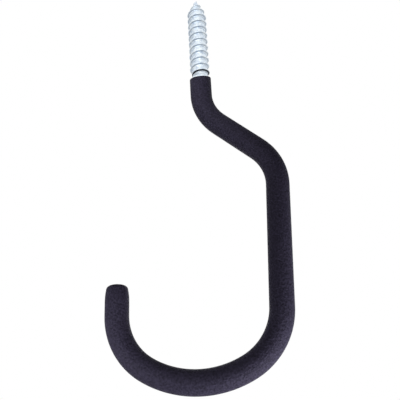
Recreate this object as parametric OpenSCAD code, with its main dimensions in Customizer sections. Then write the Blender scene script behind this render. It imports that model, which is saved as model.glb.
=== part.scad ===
// Screw-in tool hook: a bent steel rod with a wood-screw thread, dipped in black vinyl.
// The origin is on the screw's axis at the coating's top edge, +Z along the screw to its point.
// The hook lies in the XZ plane, with its shank on +X and its upturned end on -X.

/* [Rod] */
// Diameter of the steel rod
rod_d = 6.35; // [5:0.05:8]

/* [Coating] */
// Thickness of the vinyl on the rod
coat_t = 1; // [0.6:0.05:1.6]
// Thickness of the vinyl over the rod's cut end
tip_t = 1.6; // [0.8:0.1:3]
// Radius of the rounded edge round the coated end
tip_r = 1.5; // [0.5:0.1:1.8]
// Slope of the dip line across the front of the neck
dip_angle = 20; // [5:1:35]

/* [Offset] */
// Straight length from the coating's top edge to the first bend
neck_l = 7.9; // [4:0.1:20]
// Centreline radius of the two offset bends
bend_r = 19.5; // [14:0.5:30]
// Angle of the bend that leads out from the neck
out_angle = 46.5; // [30:0.5:60]
// Straight length of the slanting run between the bends
slant_l = 18.5; // [5:0.5:40]
// Angle of the bend that leads back to the shank
back_angle = 50.5; // [30:0.5:60]

/* [Hook] */
// Straight length of the shank
shank_l = 44; // [20:0.5:120]
// Centreline radius of the hook's two sides
side_r = 22; // [16:0.5:30]
// Angle that each side turns through
side_angle = 59.5; // [45:0.5:65]
// Centreline radius of the hook's flatter bottom
bottom_r = 34; // [25:0.5:60]
// Angle that the bottom turns through
bottom_angle = 58.5; // [45:0.5:65]
// Straight length of the upturned end, with its rounded tip
end_l = 9.8; // [5:0.1:40]

/* [Screw] */
// Length of bare rod between the coating and the thread
stub_l = 0.2; // [0.2:0.1:6]
// Length of the shoulder from the rod down to the thread's root
shoulder_l = 0.3; // [0.2:0.1:2]
// Length of the thread with its point
thread_l = 40; // [25:0.1:70]
// Diameter over the thread's crest
thread_d = 7.8; // [7:0.1:10]
// Diameter at the thread's root
root_d = 6; // [4:0.1:6.2]
// Rise of the thread in one turn
thread_pitch = 3.12; // [2.6:0.02:5]
// Width of the flat on the crest
crest_w = 0.2; // [0.1:0.05:0.8]
// Run of each sloping flank along the axis
flank_w = 0.4; // [0.3:0.05:0.8]
// Angle round the axis at which the thread starts
thread_start = 185; // [0:5:355]
// Length of the gimlet point
point_l = 8; // [5:0.5:15]

/* [Hidden] */
$fn = 96;
// Facets of the thread in one turn
turn_steps = 28;
// Flat left round the foot of the thread where it stands on the shoulder
thread_land = 0.1;
// Rise from the shoulder to the start of the thread, and from its last turn to the point
thread_lead = 0.2;
// Share of the first turn in which the thread rises to its full height
thread_fade = 0.15;
coat_d = rod_d + 2 * coat_t;
coat_r = coat_d / 2;
// Bends are a hair fatter than straight runs, and the bottom fatter than the sides, and each thinner
// length laps into the fatter one, so that every joint is clean
bend_swell = 0.02;
bottom_swell = 0.04;
joint_lap = 0.1;
root_r = root_d / 2;
thread_h = (thread_d - root_d) / 2;
foot_z = stub_l + shoulder_l;
point_z = foot_z + thread_l;
// Corners of the thread's profile up the axis: lower foot, both edges of the crest, and upper foot
profile_z = [0, flank_w, flank_w + crest_w, 2 * flank_w + crest_w];
profile_h = [0, thread_h, thread_h, 0];
corners = len(profile_z);
last_row = floor(turn_steps * ((thread_l - 2 * thread_lead) / thread_pitch - 1));

// Share of the way left to the point, 1 along the straight length of the screw
function to_point(z) = min(1, (point_z - z) / point_l);

// One corner of the thread's profile at one step round the helix
function thread_point(step, corner) =
    let (turn = step / turn_steps)
    let (z = foot_z + thread_lead + thread_pitch * turn + profile_z[corner])
    let (r = root_r * to_point(z) + profile_h[corner] * min(1, turn / thread_fade) * sqrt(to_point(z)))
    [r * cos(360 * turn), r * sin(360 * turn), z];

// Place of a profile corner in the list of points: the corner past the last is the first, one turn on
function thread_id(step, corner) =
    corner == corners ? thread_id(step + turn_steps, 0)
    : step <= last_row ? corners * step + corner
    : corners * (last_row + 1) + step - last_row - 1;

module screw_thread() {
    rows = [for (step = [0 : last_row], corner = [0 : corners - 1]) thread_point(step, corner)];
    top_edge = [for (step = [last_row + 1 : last_row + turn_steps]) thread_point(step, 0)];
    foot = [for (k = [0 : turn_steps - 1])
        [root_r * cos(360 * k / turn_steps), root_r * sin(360 * k / turn_steps), foot_z]];
    foot_id = len(rows) + len(top_edge);
    point_id = foot_id + turn_steps;
    seam = foot_id + turn_steps - 1;
    crown = thread_id(last_row + 1, 0);
    flanks = [for (step = [0 : last_row - 1], corner = [0 : corners - 1], half = [0, 1])
        half == 0
            ? [thread_id(step, corner), thread_id(step, corner + 1), thread_id(step + 1, corner + 1)]
            : [thread_id(step, corner), thread_id(step + 1, corner + 1), thread_id(step + 1, corner)]];
    skirt = [for (k = [0 : turn_steps - 2], half = [0, 1])
        half == 0
            ? [foot_id + k, thread_id(k, 0), thread_id(k + 1, 0)]
            : [foot_id + k, thread_id(k + 1, 0), foot_id + k + 1]];
    skirt_seam = concat(
        [[seam, thread_id(0, 0), foot_id]],
        [for (corner = [0 : corners - 1]) [seam, thread_id(0, corner + 1), thread_id(0, corner)]],
        [[seam, thread_id(turn_steps - 1, 0), thread_id(turn_steps, 0)]]);
    cap = [for (step = [last_row + 1 : last_row + turn_steps - 1])
        [thread_id(step, 0), point_id, thread_id(step + 1, 0)]];
    cap_seam = concat(
        [[crown, thread_id(last_row, corners), point_id]],
        [for (corner = [0 : corners - 1]) [crown, thread_id(last_row, corner), thread_id(last_row, corner + 1)]]);
    polyhedron(
        points = concat(rows, top_edge, foot, [[0, 0, point_z]]),
        faces = concat([[for (k = [0 : turn_steps - 1]) foot_id + k]], flanks, skirt, skirt_seam, cap, cap_seam));
}

// Straight run along -Z that laps into the bends at both ends, with what follows at its far end
module ahead(l, d) {
    translate([0, 0, -l]) {
        translate([0, 0, -joint_lap]) cylinder(d = d, h = l + 2 * joint_lap);
        children();
    }
}

// Bend from -Z towards +X, with what follows at its far end
module turn_out(r, a, d) {
    translate([r, 0, 0]) {
        rotate([90, 0, 0]) rotate([0, 0, 180])
            rotate_extrude(angle = a) translate([r, 0]) circle(d = d + 2 * bend_swell);
        rotate([0, -a, 0]) translate([-r, 0, 0]) children();
    }
}

// Bend from -Z towards -X, with laps before and after it, and what follows at its far end
module turn_back(r, a, d, swell, lap_before = 0, lap_after = 0) {
    before = lap_before / r * 180 / PI;
    after = lap_after / r * 180 / PI;
    translate([-r, 0, 0]) {
        rotate([90, 0, 0]) rotate([0, 0, -a - after])
            rotate_extrude(angle = a + before + after) translate([r, 0]) circle(d = d + 2 * swell);
        rotate([0, a, 0]) translate([r, 0, 0]) children();
    }
}

// From the end of the neck to the start of the upturned end, whose shape is the child
module hook_walk(d) {
    translate([0, 0, -neck_l])
        turn_out(bend_r, out_angle, d)
        ahead(slant_l, d)
        turn_back(bend_r, back_angle, d, bend_swell)
        ahead(shank_l, d)
        turn_back(side_r, side_angle, d, bend_swell, lap_after = joint_lap)
        turn_back(bottom_r, bottom_angle, d, bottom_swell)
        turn_back(side_r, side_angle, d, bend_swell, lap_before = joint_lap)
        mirror([0, 0, 1]) translate([0, 0, -joint_lap]) children();
}

// The bent rod without its thread
module rod_bar() {
    translate([0, 0, -neck_l - joint_lap]) cylinder(d = rod_d, h = neck_l + joint_lap + stub_l);
    hook_walk(rod_d) cylinder(d = rod_d, h = end_l - tip_t + joint_lap);
}

// Coated neck, with the dip line sloping down across its front
module coated_neck() {
    difference() {
        translate([0, 0, -neck_l - joint_lap]) cylinder(d = coat_d, h = neck_l + joint_lap);
        rotate([dip_angle, 0, 0]) translate([-coat_d, -coat_d, 0]) cube([2 * coat_d, coat_d, coat_d]);
    }
}

// Coated end from 0 to l, with a rounded edge at l
module coated_end(l) {
    rotate_extrude() {
        square([coat_r, l - tip_r]);
        square([coat_r - tip_r, l]);
        translate([coat_r - tip_r, l - tip_r]) circle(r = tip_r);
    }
}

// Zinc-plated rod, bent to the hook, with the rolled thread at its top
module steel_rod() {
    color("lightsteelblue") {
        rotate([0, 0, thread_start]) screw_thread();
        translate([0, 0, stub_l]) cylinder(d1 = rod_d, d2 = root_d + 2 * thread_land, h = shoulder_l);
        rod_bar();
    }
}

// Dipped vinyl, closed over the rod's cut end
module vinyl_coating() {
    color([0.16, 0.16, 0.19]) difference() {
        union() {
            coated_neck();
            hook_walk(coat_d) coated_end(end_l + joint_lap);
        }
        rod_bar();
    }
}

steel_rod();
vinyl_coating();
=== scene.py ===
"""Looks of a screw-in tool hook: a zinc-plated rod with a rolled wood-screw thread, dipped in black vinyl."""
import math

import bpy
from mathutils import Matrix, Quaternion, Vector


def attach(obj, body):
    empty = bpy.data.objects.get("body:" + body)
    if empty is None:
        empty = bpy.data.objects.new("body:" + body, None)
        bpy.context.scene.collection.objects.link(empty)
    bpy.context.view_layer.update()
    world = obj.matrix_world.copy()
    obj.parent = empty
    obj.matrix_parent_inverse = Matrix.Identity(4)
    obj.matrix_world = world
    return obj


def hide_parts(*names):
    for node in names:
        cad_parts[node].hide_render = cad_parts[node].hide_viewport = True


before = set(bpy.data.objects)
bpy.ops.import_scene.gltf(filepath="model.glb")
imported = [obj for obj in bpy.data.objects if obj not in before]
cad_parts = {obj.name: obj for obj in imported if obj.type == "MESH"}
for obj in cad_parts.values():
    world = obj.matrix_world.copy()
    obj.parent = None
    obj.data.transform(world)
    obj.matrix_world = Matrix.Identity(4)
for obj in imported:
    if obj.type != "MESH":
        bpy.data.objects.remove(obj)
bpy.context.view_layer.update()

# All lengths are in metres
MM = 0.001

# The rod and the coating: the vinyl over the rod's cut end, the rounded edges of the tip and the lip,
# the slope of the dip line with the length in which it fades, and how far the end is drawn in
ROD_R = 3.175 * MM
COAT_R = 4.175 * MM
TIP_T = 1.6 * MM
TIP_R = 1.5 * MM
LIP_R = 0.3 * MM
DIP_ANGLE = math.radians(20)
DIP_FADE_L = 4 * MM
END_THIN = 0.35 * MM
THIN_L = 3.8 * MM

# The bends and the straight runs, from the neck to the upturned end
NECK_L = 7.9 * MM
BEND_R = 19.5 * MM
OUT_ANGLE = math.radians(46.5)
SLANT_L = 18.5 * MM
BACK_ANGLE = math.radians(50.5)
SHANK_L = 44 * MM
SIDE_R = 22 * MM
SIDE_ANGLE = math.radians(59.5)
BOTTOM_R = 34 * MM
BOTTOM_ANGLE = math.radians(58.5)
LAST_ANGLE = math.radians(58)
END_L = 10.4 * MM

# The screw: its lengths and radii, the section of its thread, the angle at which the thread starts, and
# the share of a turn in which it rises
STUB_L = 0.2 * MM
SHOULDER_L = 0.3 * MM
THREAD_L = 40 * MM
POINT_L = 8 * MM
THREAD_R = 3.9 * MM
ROOT_R = 3 * MM
PITCH = 3.12 * MM
CREST_W = 0.2 * MM
FLANK_W = 0.4 * MM
THREAD_LEAD = 0.2 * MM
THREAD_START = math.radians(185)
THREAD_FADE = 0.15
FOOT_Z = STUB_L + SHOULDER_L
POINT_Z = FOOT_Z + THREAD_L

# Painted shade under the crests, dark bands that stand in for the shadow on each lower flank: how dark and
# how wide it is on the first part of a turn, and on the rest
START_TURNS = 0.6
START_PAINTED_SHADE = 1.0
START_PAINTED_SHADE_W = 0.22 * MM
THREAD_PAINTED_SHADE = 0.45
THREAD_PAINTED_SHADE_W = 0.15 * MM

# How finely the meshes are cut, and the mesh attribute that holds the painted shade under the thread's crests
ROUND = 64
PATH_STEP = 0.7 * MM
THREAD_STEP = 0.05 * MM
EDGE_STEPS = 8
SHADE = "shade"

# Colours and finishes
WHITE = (1, 1, 1)
VINYL_DARK = (0.013, 0.0114, 0.0198)
VINYL_PALE = (0.0307, 0.0269, 0.047)
VINYL_ROUGHNESS = 0.6
VINYL_SPECULAR = 0.04
ZINC_DARK = (0.60, 0.69, 0.81)
ZINC_PALE = (0.89, 0.96, 1.0)
ZINC_ROUGHNESS = 0.36
# Colour of the painted shade under the thread's crests
PAINTED_SHADE_COLOUR = (0.02, 0.022, 0.03)
FLOOR_COLOUR = (0.85, 0.85, 0.85)
FLOOR_ROUGHNESS = 0.9

# The photograph's view: where the camera looks, from which side, and through which lens
VIEW_TARGET = Vector((-0.00263, 0, -0.05269))
VIEW_DISTANCE = 0.21225
VIEW_AZIMUTH = math.radians(9.281)
VIEW_ELEVATION = math.radians(-24.971)
VIEW_ROLL = math.radians(-2.962)
LENS_MM = 53.132
SENSOR_MM = 36


class Ring:
    """One loop of a swept bar: its centre, the bar's heading there (0 is straight down) and its radius.

    The radius and the shade are numbers or functions of the angle round the bar. The dip is how steeply
    the loop sags at the front.
    """

    def __init__(self, centre, heading, radius, dip=0.0, shade=0.0):
        self.centre = centre
        self.ahead = Vector((math.sin(heading), 0, -math.cos(heading)))
        self.side = Vector((math.cos(heading), 0, math.sin(heading)))
        self.radius = radius
        self.dip = dip
        self.shade = shade

    def points(self):
        """Each point of the loop with its shade."""
        for k in range(ROUND):
            turn = math.tau * k / ROUND
            radius = self.radius(turn) if callable(self.radius) else self.radius
            shade = self.shade(turn) if callable(self.shade) else self.shade
            outward = self.side * math.cos(turn) + Vector((0, math.sin(turn), 0))
            sag = self.dip * radius * max(0.0, -math.sin(turn))
            yield self.centre + outward * radius + self.ahead * sag, shade


def clamp(value):
    """The value, kept between 0 and 1."""
    return max(0.0, min(1.0, value))


def centreline(neck_l, end_l):
    """Distance, centre and heading of points down the bar, from the neck to the upturned end."""
    runs = [
        (neck_l, 0),
        (BEND_R * OUT_ANGLE, 1 / BEND_R),
        (SLANT_L, 0),
        (BEND_R * BACK_ANGLE, -1 / BEND_R),
        (SHANK_L, 0),
        (SIDE_R * SIDE_ANGLE, -1 / SIDE_R),
        (BOTTOM_R * BOTTOM_ANGLE, -1 / BOTTOM_R),
        (SIDE_R * LAST_ANGLE, -1 / SIDE_R),
        (end_l, 0),
    ]
    centre = Vector((0, 0, neck_l - NECK_L))
    heading = 0
    distance = 0
    yield distance, centre.copy(), heading
    for length, curvature in runs:
        steps = math.ceil(length / PATH_STEP)
        step = length / steps
        swing = step * curvature
        chord = 2 * math.sin(swing / 2) / curvature if curvature else step
        for _ in range(steps):
            middle = heading + swing / 2
            centre += chord * Vector((math.sin(middle), 0, -math.cos(middle)))
            heading += swing
            distance += step
            yield distance, centre.copy(), heading


def swept_mesh(name, rings, first_point=None, last_point=None):
    """A smooth closed mesh through the rings, brought to a point or a flat face at each end."""
    points = [p for ring in rings for p in ring.points()]
    vertices = [place for place, shade in points]
    shades = [shade for place, shade in points]
    faces = []
    for i in range(len(rings) - 1):
        for k in range(ROUND):
            a = i * ROUND + k
            b = i * ROUND + (k + 1) % ROUND
            faces.append((a, a + ROUND, b + ROUND, b))
    for point, row in ((first_point, 0), (last_point, len(rings) - 1)):
        loop = [row * ROUND + k for k in range(ROUND)]
        if row:
            loop.reverse()
        if point is None:
            faces.append(loop)
            continue
        vertices.append(point)
        shades.append(0.0)
        tip = len(vertices) - 1
        faces += [(loop[k], loop[(k + 1) % ROUND], tip) for k in range(ROUND)]
    mesh = bpy.data.meshes.new(name)
    mesh.from_pydata(vertices, [], faces)
    mesh.shade_smooth()
    mesh.attributes.new(SHADE, "FLOAT", "POINT").data.foreach_set("value", shades)
    piece = bpy.data.objects.new(name, mesh)
    bpy.context.scene.collection.objects.link(piece)
    return piece


def to_point(z):
    """Share of the way left to the screw's point, 1 along its straight length."""
    return clamp((POINT_Z - z) / POINT_L)


def nearest_crest(z, turn):
    """How many turns up the thread the nearest crest is, and how far above it the point lies."""
    phase = (turn - THREAD_START) / math.tau % 1
    above_first = z - (FOOT_Z + THREAD_LEAD + FLANK_W + CREST_W / 2 + PITCH * phase)
    turns = math.floor(above_first / PITCH + 0.5)
    return turns + phase, above_first - PITCH * turns


def ridge(z, turn):
    """Height of the thread, from 0 in the root to 1 on the crest."""
    turns, above = nearest_crest(z, turn)
    return clamp((CREST_W / 2 + FLANK_W - abs(above)) / FLANK_W) * clamp(turns / THREAD_FADE)


def painted_shade(z, turn):
    """How much painted shade the plating gets: a soft-edged band on each lower flank, standing in for its
    shadow, blackest where the thread starts.
    """
    turns, above = nearest_crest(z, turn)
    if turns < 0:
        return 0.0
    if turns < START_TURNS:
        strength, width = START_PAINTED_SHADE, START_PAINTED_SHADE_W
    else:
        strength, width = THREAD_PAINTED_SHADE, THREAD_PAINTED_SHADE_W
    from_flank = abs(above + CREST_W / 2 + FLANK_W / 2)
    return strength * clamp(2 - from_flank * 2 / width)


def thread_ring(z):
    """One loop of the screw, with the thread's ridge and the painted shade under its crests."""
    root = ROOT_R * to_point(z)
    height = (THREAD_R - ROOT_R) * math.sqrt(to_point(z))
    return Ring(
        Vector((0, 0, z)), 0,
        radius=lambda turn: root + height * ridge(z, turn),
        shade=lambda turn: painted_shade(z, turn),
    )


def make_rod():
    """The rod with its thread, from the point down through the coating to the rod's cut end."""
    steps = round(THREAD_L / THREAD_STEP)
    rings = [thread_ring(POINT_Z - i * THREAD_STEP) for i in range(1, steps)]
    rings.append(Ring(Vector((0, 0, FOOT_Z)), 0, ROOT_R))
    for _, centre, heading in centreline(NECK_L + STUB_L, END_L - TIP_T):
        rings.append(Ring(centre, heading, ROD_R))
    return swept_mesh("zinc_rod", rings, first_point=Vector((0, 0, POINT_Z)))


def dip_at(distance):
    """How steeply the coating sags at the front: most at the dip line, and less further down the neck."""
    return math.tan(DIP_ANGLE) * clamp(1 - distance / DIP_FADE_L)


def make_coating():
    """The dipped vinyl: its bore round the rod, its rounded lip, the sleeve and its closed, drawn-in tip."""
    edge_angles = [math.pi / 2 * i / EDGE_STEPS for i in range(EDGE_STEPS + 1)]
    rings = []
    for distance, centre, heading in centreline(NECK_L, END_L - TIP_T):
        rings.append(Ring(centre, heading, ROD_R, dip_at(distance)))
    rings.reverse()
    for angle in edge_angles[:-1]:
        out = COAT_R - LIP_R + LIP_R * math.sin(angle)
        down = LIP_R * (1 - math.cos(angle))
        rings.append(Ring(Vector((0, 0, -down)), 0, out, dip_at(0)))
    sleeve = list(centreline(NECK_L - LIP_R, END_L - TIP_R))
    sleeve_l, _, end_heading = sleeve[-1]
    for distance, centre, heading in sleeve:
        drawn_in = clamp(1 - (sleeve_l - distance) / THIN_L)
        rings.append(Ring(centre, heading, COAT_R - END_THIN * drawn_in ** 2, dip_at(distance)))
    last = rings[-1]
    for angle in edge_angles[1:]:
        out = last.radius - TIP_R + TIP_R * math.cos(angle)
        rings.append(Ring(last.centre + last.ahead * TIP_R * math.sin(angle), end_heading, out))
    return swept_mesh("dipped_coat", rings, last_point=rings[-1].centre)


def new_material(name):
    """A new material with its node tree and its shader."""
    material = bpy.data.materials.new(name)
    material.use_nodes = True
    tree = material.node_tree
    return material, tree, tree.nodes["Principled BSDF"]


def noise_node(tree, scale, detail):
    """Noise in the object's own coordinates."""
    place = tree.nodes.new("ShaderNodeTexCoord")
    texture = tree.nodes.new("ShaderNodeTexNoise")
    texture.inputs["Scale"].default_value = scale
    texture.inputs["Detail"].default_value = detail
    tree.links.new(place.outputs["Object"], texture.inputs["Vector"])
    return texture.outputs["Fac"]


def ramp_node(tree, value, low, high):
    """A colour along a value, between two stops, each a (position, colour) pair."""
    ramp = tree.nodes.new("ShaderNodeValToRGB")
    for element, (position, colour) in zip(ramp.color_ramp.elements, (low, high)):
        element.position = position
        element.color = (*colour, 1)
    tree.links.new(value, ramp.inputs["Fac"])
    return ramp.outputs["Color"]


def bump_node(tree, height, strength, distance, under=None):
    """A bumped surface, on top of another one where one is given."""
    bump = tree.nodes.new("ShaderNodeBump")
    bump.inputs["Strength"].default_value = strength
    bump.inputs["Distance"].default_value = distance
    tree.links.new(height, bump.inputs["Height"])
    if under:
        tree.links.new(under, bump.inputs["Normal"])
    return bump.outputs["Normal"]


def vinyl_material():
    """Matte bluish-black plastisol with a fine speckled grain and a faint orange-peel surface."""
    material, tree, shader = new_material("black_vinyl")
    cloud = noise_node(tree, scale=260, detail=3)
    grain = noise_node(tree, scale=1500, detail=2)
    colour = ramp_node(tree, grain, low=(0.3, VINYL_DARK), high=(0.7, VINYL_PALE))
    peel = bump_node(tree, cloud, strength=0.25, distance=0.3 * MM)
    surface = bump_node(tree, grain, strength=0.9, distance=0.4 * MM, under=peel)
    tree.links.new(colour, shader.inputs["Base Color"])
    tree.links.new(surface, shader.inputs["Normal"])
    shader.inputs["Roughness"].default_value = VINYL_ROUGHNESS
    shader.inputs["Specular IOR Level"].default_value = VINYL_SPECULAR
    return material


def zinc_material():
    """Bright bluish zinc plate, mottled by the rolling, with painted shade under the crests where the mesh's
    shade attribute is set.
    """
    material, tree, shader = new_material("zinc_plate")
    mottle = noise_node(tree, scale=900, detail=3)
    plate = ramp_node(tree, mottle, low=(0.35, ZINC_DARK), high=(0.65, ZINC_PALE))
    surface = bump_node(tree, mottle, strength=0.6, distance=0.15 * MM)
    # Painted shade under the thread's crests, mixed over the plate's colour from the mesh attribute
    shade = tree.nodes.new("ShaderNodeAttribute")
    shade.attribute_name = SHADE
    mix = tree.nodes.new("ShaderNodeMix")
    mix.data_type = "RGBA"
    mix.inputs["B"].default_value = (*PAINTED_SHADE_COLOUR, 1)
    tree.links.new(shade.outputs["Fac"], mix.inputs["Factor"])
    tree.links.new(plate, mix.inputs["A"])
    tree.links.new(mix.outputs["Result"], shader.inputs["Base Color"])
    tree.links.new(surface, shader.inputs["Normal"])
    shader.inputs["Metallic"].default_value = 1.0
    shader.inputs["Roughness"].default_value = ZINC_ROUGHNESS
    return material


def dress(piece, material, node):
    """Gives a piece its finish and lets it stand for its CAD node."""
    piece.data.materials.append(material)
    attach(piece, "root")
    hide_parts(node)


def seen_rays(tree):
    """1 for rays that see the background, straight or by reflection, and 0 for rays that light a surface."""
    rays = tree.nodes.new("ShaderNodeLightPath")
    seen = rays.outputs["Is Camera Ray"]
    for kind in ("Is Glossy Ray", "Is Transmission Ray"):
        either = tree.nodes.new("ShaderNodeMath")
        either.operation = "MAXIMUM"
        tree.links.new(seen, either.inputs[0])
        tree.links.new(rays.outputs[kind], either.inputs[1])
        seen = either.outputs[0]
    return seen


def level_node(tree, value, low, high):
    """A level that runs from low to high as the value runs from 0 to 1."""
    level = tree.nodes.new("ShaderNodeMapRange")
    level.inputs["To Min"].default_value = low
    level.inputs["To Max"].default_value = high
    tree.links.new(value, level.inputs["Value"])
    return level.outputs["Result"]


def make_world(ambient):
    """White behind the object and in its reflections, and a faint light on its surfaces."""
    world = bpy.data.worlds.new("studio")
    bpy.context.scene.world = world
    world.use_nodes = True
    tree = world.node_tree
    background = tree.nodes["Background"]
    background.inputs["Color"].default_value = (*WHITE, 1)
    tree.links.new(level_node(tree, seen_rays(tree), ambient, 1.0), background.inputs["Strength"])


def make_floor(height, half, glow):
    """A plain pale floor well below the hanging hook, nearly as bright to the eye as the background."""
    mesh = bpy.data.meshes.new("floor")
    corners = [(-half, -half, height), (half, -half, height), (half, half, height), (-half, half, height)]
    mesh.from_pydata(corners, [], [(0, 1, 2, 3)])
    floor = bpy.data.objects.new("floor", mesh)
    material, tree, shader = new_material("pale_floor")
    shader.inputs["Base Color"].default_value = (*FLOOR_COLOUR, 1)
    shader.inputs["Roughness"].default_value = FLOOR_ROUGHNESS
    shader.inputs["Emission Color"].default_value = (*WHITE, 1)
    tree.links.new(level_node(tree, seen_rays(tree), 0, glow), shader.inputs["Emission Strength"])
    mesh.materials.append(material)
    bpy.context.scene.collection.objects.link(floor)


def make_lamp(name, lit, place, target, size, watts):
    """A soft square lamp that lights one piece alone."""
    lamp = bpy.data.lights.new(name, "AREA")
    lamp.size = size
    lamp.energy = watts
    holder = bpy.data.objects.new(name, lamp)
    holder.location = place
    holder.rotation_euler = (Vector(target) - Vector(place)).to_track_quat("-Z", "Y").to_euler()
    holder.light_linking.receiver_collection = bpy.data.collections.new(name)
    holder.light_linking.receiver_collection.objects.link(lit)
    bpy.context.scene.collection.objects.link(holder)


def make_lamps(rod, coat):
    """A streak down the zinc, and on the vinyl a key from below, two near fills and a lamp behind."""
    make_lamp("streak", rod, place=(0.03, -0.25, -0.02), target=(0, 0, 0.02), size=0.3, watts=0.33)
    make_lamp("key", coat, place=(0.09, -0.025, -0.20), target=(0, 0, -0.09), size=0.1, watts=0.5)
    make_lamp("fill", coat, place=(-0.062, -0.037, -0.114), target=(-0.03, 0, -0.09), size=0.05, watts=0.047)
    make_lamp("neck", coat, place=(-0.01, -0.038, -0.004), target=(0, 0, -0.01), size=0.04, watts=0.019)
    make_lamp("back", coat, place=(0, 0.32, -0.05), target=(0, 0, -0.06), size=0.4, watts=0.75)


def make_camera():
    """The camera of the photograph."""
    look = Vector((
        -math.sin(VIEW_AZIMUTH) * math.cos(VIEW_ELEVATION),
        math.cos(VIEW_AZIMUTH) * math.cos(VIEW_ELEVATION),
        -math.sin(VIEW_ELEVATION),
    ))
    data = bpy.data.cameras.new("photo_view")
    data.lens = LENS_MM
    data.sensor_width = SENSOR_MM
    camera = bpy.data.objects.new("photo_view", data)
    camera.location = VIEW_TARGET - look * VIEW_DISTANCE
    camera.rotation_mode = "QUATERNION"
    camera.rotation_quaternion = look.to_track_quat("-Z", "Y") @ Quaternion((0, 0, 1), VIEW_ROLL)
    bpy.context.scene.collection.objects.link(camera)
    bpy.context.scene.camera = camera


rod = make_rod()
coat = make_coating()
dress(rod, zinc_material(), "steel_rod")
dress(coat, vinyl_material(), "vinyl_coating")
make_camera()
make_world(ambient=0.02)
make_floor(height=-0.6, half=20, glow=0.95)
make_lamps(rod, coat)
bpy.context.scene.view_settings.view_transform = "Standard"
